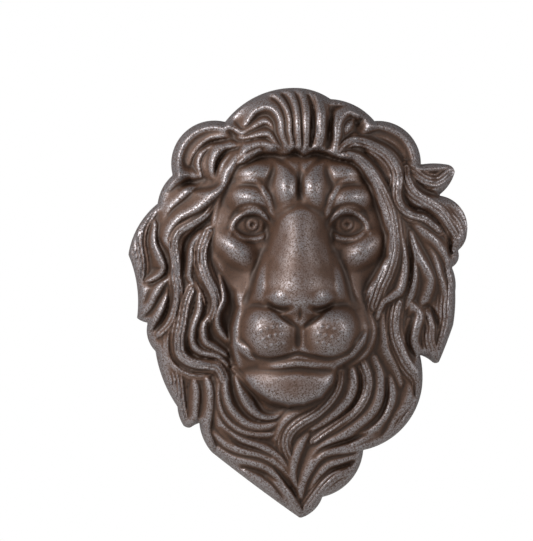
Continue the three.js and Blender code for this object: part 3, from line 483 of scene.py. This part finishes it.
def reliefBody(name, ring, cell, heightAt, rimHeight, backSteps):
    # a grid cut to the ring, raised to the carving, with its rim drawn back in steps of (y, inset) and closed
    keptOutside = 0.45  # share of a cell that a corner may lie outside the ring, to be drawn in to it
    weld = 0.001 * mm
    low, high = ring.min(0) - 2 * cell, ring.max(0) + 2 * cell
    size = high - low
    bm = bmesh.new()
    bmesh.ops.create_grid(bm, x_segments=round(size[0] / cell), y_segments=round(size[1] / cell), size=0.5)
    place = Matrix.Translation(((low[0] + high[0]) / 2 * unit, 0, (low[1] + high[1]) / 2 * unit))
    place = place @ Matrix.Rotation(math.pi / 2, 4, "X") @ Matrix.Diagonal((*(size * unit), 1, 1))
    bmesh.ops.transform(bm, matrix=place, verts=bm.verts)
    depth, _, _ = nearRing(*carved(bm.verts), ring)
    outside = [v for v, d in zip(bm.verts, depth) if d < -keptOutside * cell]
    bmesh.ops.delete(bm, geom=outside, context="VERTS")
    for _ in range(2):  # no cell hangs on by one corner
        loose = [f for f in bm.faces if sum(e.is_boundary for e in f.edges) > 2]
        bmesh.ops.delete(bm, geom=loose, context="FACES")
    edgeVerts = [v for v in bm.verts if v.is_boundary]
    _, px, pz = nearRing(*carved(edgeVerts), ring)
    for v, x, z in zip(edgeVerts, px, pz):
        v.co = (x * unit, 0, z * unit)
    x, z = carved(bm.verts)
    depth, _, _ = nearRing(x, z, ring)
    height = heightAt(x, z, np.maximum(depth, 0))
    if rimHeight is not None:
        height[np.array([v.is_boundary for v in bm.verts])] = rimHeight
    for v, h in zip(bm.verts, height):
        v.co.y = -h
    rim = [e for e in bm.edges if e.is_boundary]
    for y, inset in backSteps:
        made = bmesh.ops.extrude_edge_only(bm, edges=rim)["geom"]
        rim = [g for g in made if isinstance(g, bmesh.types.BMEdge)]
        verts = [g for g in made if isinstance(g, bmesh.types.BMVert)]
        for v, way in zip(verts, inwards(*carved(verts), ring)):
            v.co.y = y
            v.co += Vector(inset * way)
    bmesh.ops.triangle_fill(bm, edges=rim, use_beauty=False, normal=(0, 1, 0))
    bmesh.ops.remove_doubles(bm, verts=bm.verts, dist=weld)
    bmesh.ops.recalc_face_normals(bm, faces=bm.faces)
    return addMesh(name, bm)


def inwards(x, z, ring):  # unit steps away from the ring, towards its inside
    step = 0.05
    here, right, up = (nearRing(x + dx, z + dz, ring)[0] for dx, dz in ((0, 0), (step, 0), (0, step)))
    way = np.stack([right - here, np.zeros(x.shape), up - here], 1)
    return way / np.maximum(1e-6, np.linalg.norm(way, axis=1))[:, None]


def cut(body, tool):  # takes the tool out of the body and removes it
    modifier = body.modifiers.new("cut", "BOOLEAN")
    modifier.operation, modifier.solver, modifier.object = "DIFFERENCE", "MANIFOLD", tool
    evaluated = body.evaluated_get(bpy.context.evaluated_depsgraph_get())
    mesh = bpy.data.meshes.new_from_object(evaluated)
    body.modifiers.clear()
    body.data = mesh
    bpy.data.objects.remove(tool)


outlineStep, hollowStep = 0.5, 0.8  # along the arcs
outline = arcPoints(outlineArcs, outlineStep)
lionMask = reliefBody("lionMask", outline, mask["frontCell"] / unit, frontHeight, mask["edge"],
                      [(-mask["backBevel"], 0), (0, mask["backBevel"])])
print("front carved:", len(lionMask.data.vertices), "vertices")

hollowRing = arcPoints(hollowArcs, hollowStep)
hollow = reliefBody("hollow", hollowRing, mask["hollowCell"] / unit, hollowHeight, None,
                    [(mask["overshoot"], 0)])
bm = bmesh.new()
bmesh.ops.create_cube(bm, size=1)
across = (cadHigh[0] - cadLow[0], mask["barDepth"] + 2 * mask["overshoot"], mask["barHeight"])
middle = Matrix.Translation((0, mask["overshoot"] - mask["barDepth"] / 2, 0))
bmesh.ops.transform(bm, matrix=middle @ Matrix.Diagonal((*across, 1)), verts=bm.verts)
along = [e for e in bm.edges if abs(e.verts[0].co.x - e.verts[1].co.x) > mask["barHeight"]]
bmesh.ops.bevel(bm, geom=along, offset=mask["barRound"], offset_type="OFFSET", affect="EDGES", segments=3,
                profile=0.5, material=-1)
bar = addMesh("bar", bm)
cut(hollow, bar)
cut(lionMask, hollow)
print("hollow and bar cut:", len(lionMask.data.polygons), "faces")

iron = {
    # painted shade: the near-black colour that the narrow grooves are darkened to, where shade falls in them
    "groove": "#150f0b",
    "recess": "#452e20",
    "body": "#594236",
    "worn": "#8b888b",
    "dust": "#211a16",
    "patchSize": 11 * mm,
    "grainSize": 0.9 * mm,  # sand grain, coarser than the real 0.4 mm so that it shows in the picture
    "grainDepth": 0.1 * mm,
    "pitShare": 0.5,  # share of the pits, beside the grain, in the bumps
    "rough": 0.58,
    "wornRough": 0.42,
    "metal": 0.35,
    "wornMetal": 0.75,
    "fine": ("fineRelief", 8, 0.35),  # attribute, rounds of averaging, millimetres of full relief
    "broad": ("broadRelief", 30, 0.9),
    "rubFine": 0.4,  # what each one adds to how far the patina is rubbed, from rubLeast up
    "rubBroad": 0.5,
    "rubPatch": 0.9,
    "rubLeast": -0.45,
    "brown": (-0.4, 0.3),  # rubbed from the recesses' brown to the body's
    "bare": (0.05, 0.75),  # rubbed from patina to bare metal
    "speck": (0.38, 0.6),  # grain that keeps its patina, and grain that is bare
    "paintedGrooveShade": (-0.3, -0.9, 0.5),  # painted shade in the narrow grooves: fine relief from which it starts, where it is darkest, and how strong it is
    "dusty": (0.46, 0.34, 0.6),  # grain from which dust lies, lies most, and how much
}


def reliefForWearAndShade(body):
    # how far each point stands out from the surface averaged around it, fine and broad, in millimetres; this sets
    # both the rubbed wear and the painted shade in the narrow grooves
    backTurn, backSunk = 0.1, 0.1  # what is turned to the wall counts as sunk, so that nothing rubs it
    mesh = body.data
    co, normal = np.zeros(len(mesh.vertices) * 3), np.zeros(len(mesh.vertices) * 3)
    mesh.vertices.foreach_get("co", co)
    mesh.vertices.foreach_get("normal", normal)
    co, normal = co.reshape(-1, 3), normal.reshape(-1, 3)
    ends = np.zeros(len(mesh.edges) * 2, int)
    mesh.edges.foreach_get("vertices", ends)
    a, b = ends[0::2], ends[1::2]
    count = np.bincount(ends, minlength=len(co))[:, None]
    mean, rounds = co.copy(), 0
    for name, times, most in (iron["fine"], iron["broad"]):
        while rounds < times:
            total = np.stack([np.bincount(a, mean[b, i], len(co)) + np.bincount(b, mean[a, i], len(co))
                              for i in range(3)], 1)
            mean = total / count
            rounds += 1
        out = ((co - mean) * normal).sum(1) / mm
        out = np.where(normal[:, 1] > backTurn, np.minimum(out, -backSunk), out)
        layer = mesh.attributes.new(name, "FLOAT", "POINT")
        layer.data.foreach_set("value", np.clip(out / most, -1, 1).astype(np.float32))


reliefForWearAndShade(lionMask)
lionMask.name = lionMask.data.name = "lionMask"
lionMask.data.shade_smooth()
lionMask.data.set_sharp_from_angle(angle=math.radians(mask["sharpAngle"]))
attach(lionMask, "root")
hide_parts("lion_mask")


def linear(text):  # an sRGB hex colour as a linear one
    parts = [int(text[i : i + 2], 16) / 255 for i in (1, 3, 5)]
    return (*[p / 12.92 if p <= 0.04045 else ((p + 0.055) / 1.055) ** 2.4 for p in parts], 1)


def addNode(tree, kind, settings=(), inputs=(), out=0):  # makes a node and gives one of its outputs
    made = tree.nodes.new(kind)
    for name, value in dict(settings).items():
        setattr(made, name, value)
    for name, value in dict(inputs).items():
        if isinstance(value, bpy.types.NodeSocket):
            tree.links.new(value, made.inputs[name])
        else:
            made.inputs[name].default_value = value
    return made.outputs[out] if made.outputs else None


def castIron():
    # sand-cast iron with a brown patina: deep brown in the recesses, with painted shade that makes the narrow
    # grooves nearly black, rubbed in patches to speckled bare metal on the crests, with dark dust between the
    # grains of casting sand
    material = bpy.data.materials.new("castIronPatinaAndPaintedShade")
    material.use_nodes = True
    tree = material.node_tree
    tree.nodes.clear()

    def addRange(value, low, high, least=0, most=1):
        return addNode(tree, "ShaderNodeMapRange", {}, {"Value": value, "From Min": low, "From Max": high,
                                                        "To Min": least, "To Max": most})

    def addMix(share, under, over):
        return addNode(tree, "ShaderNodeMix", {"data_type": "RGBA"}, {0: share, 6: under, 7: over}, 2)

    def addShare(value, share, base):
        return addNode(tree, "ShaderNodeMath", {"operation": "MULTIPLY_ADD"}, {0: value, 1: share, 2: base})

    place = addNode(tree, "ShaderNodeTexCoord", out="Object")
    fine, broad = (addNode(tree, "ShaderNodeAttribute", {"attribute_name": iron[name][0]}, out="Fac")
                   for name in ("fine", "broad"))
    patch = addNode(tree, "ShaderNodeTexNoise", {}, {"Vector": place, "Scale": 1 / iron["patchSize"],
                                                     "Detail": 4, "Roughness": 0.6})
    grain = addNode(tree, "ShaderNodeTexNoise", {}, {"Vector": place, "Scale": 1 / iron["grainSize"],
                                                     "Detail": 3, "Roughness": 0.65})
    pits = addNode(tree, "ShaderNodeTexVoronoi", {}, {"Vector": place, "Scale": 0.6 / iron["grainSize"]})
    # how far the patina is rubbed: most where the carving stands out, unevenly by the patches
    rubbed = addShare(broad, iron["rubBroad"], iron["rubLeast"])
    rubbed = addShare(fine, iron["rubFine"], rubbed)
    rubbed = addShare(patch, iron["rubPatch"], rubbed)
    colour = addMix(addRange(rubbed, *iron["brown"]), linear(iron["recess"]), linear(iron["body"]))
    # painted shade: the narrow grooves are darkened towards near-black by how far they sink in the fine relief
    colour = addMix(addRange(fine, *iron["paintedGrooveShade"][:2], 0, iron["paintedGrooveShade"][2]), colour, linear(iron["groove"]))
    bare, speck = addRange(rubbed, *iron["bare"]), addRange(grain, *iron["speck"])
    worn = addNode(tree, "ShaderNodeMath", {"operation": "MULTIPLY"}, {0: bare, 1: speck})
    colour = addMix(worn, colour, linear(iron["worn"]))
    colour = addMix(addRange(grain, *iron["dusty"][:2], 0, iron["dusty"][2]), colour, linear(iron["dust"]))
    relief = addShare(pits, iron["pitShare"], grain)
    shader = addNode(tree, "ShaderNodeBsdfPrincipled", {}, {
        "Base Color": colour,
        "Metallic": addRange(worn, 0, 1, iron["metal"], iron["wornMetal"]),
        "Roughness": addRange(worn, 0, 1, iron["rough"], iron["wornRough"]),
        "Normal": addNode(tree, "ShaderNodeBump", {}, {"Height": relief, "Distance": iron["grainDepth"]}),
    })
    addNode(tree, "ShaderNodeOutputMaterial", {}, {"Surface": shader})
    return material


lionMask.data.materials.clear()
lionMask.data.materials.append(castIron())
print("cast iron made")

studio = {
    "centre": (-18.8 * mm, 0, -52.4 * mm),  # middle of the picture in the plane of the wall
    "across": 313 * mm,  # tall side of the picture there
    "distance": 1200 * mm,
    "floor": -420 * mm,
    "floorSize": 3,
    "white": "#ffffff",
    "floorColour": "#e6e4e0",
    "floorRough": 0.9,
    "around": 0.18,
    # lamps: place, width and power
    "key": ((-900 * mm, -640 * mm, 420 * mm), 500 * mm, 17),
    "fill": ((860 * mm, -420 * mm, 200 * mm), 500 * mm, 5),
    "front": ((-420 * mm, -1250 * mm, 260 * mm), 400 * mm, 3),
}


def softbox(name, place, size, power):
    light = bpy.data.lights.new(name, "AREA")
    light.shape, light.size, light.energy = "DISK", size, power
    lamp = addObject(name, light)
    lamp.location = place
    aim = Vector(studio["centre"]) - Vector(place)
    lamp.rotation_euler = aim.to_track_quat("-Z", "Y").to_euler()


for lampName in ("key", "fill", "front"):
    softbox(lampName, *studio[lampName])

bm = bmesh.new()
bmesh.ops.create_grid(bm, x_segments=1, y_segments=1, size=studio["floorSize"] / 2)
floor = addMesh("floor", bm)
floor.location.z = studio["floor"]
matt = bpy.data.materials.new("mattPaintedFloor")
matt.use_nodes = True
paint = matt.node_tree.nodes["Principled BSDF"]
paint.inputs["Base Color"].default_value = linear(studio["floorColour"])
paint.inputs["Roughness"].default_value = studio["floorRough"]
floor.data.materials.append(matt)

world = bpy.data.worlds.new("studio")
world.use_nodes = True
sky = world.node_tree
sky.nodes.clear()
ray = addNode(sky, "ShaderNodeLightPath", out="Is Camera Ray")
white = linear(studio["white"])
soft = addNode(sky, "ShaderNodeBackground", {}, {"Color": white, "Strength": studio["around"]})
seen = addNode(sky, "ShaderNodeBackground", {}, {"Color": white, "Strength": 1.0})
either = addNode(sky, "ShaderNodeMixShader", {}, {0: ray, 1: soft, 2: seen})
addNode(sky, "ShaderNodeOutputWorld", {}, {"Surface": either})
bpy.context.scene.world = world
bpy.context.scene.view_settings.view_transform = "Standard"

cam = bpy.data.cameras.new("camera")
cam.lens = cam.sensor_width * studio["distance"] / studio["across"]
camera = addObject("camera", cam)
camera.location = Vector(studio["centre"]) - Vector((0, studio["distance"], 0))
camera.rotation_euler = (math.pi / 2, 0, 0)
bpy.context.scene.camera = camera
print("studio set")

bpy.context.view_layer.update()
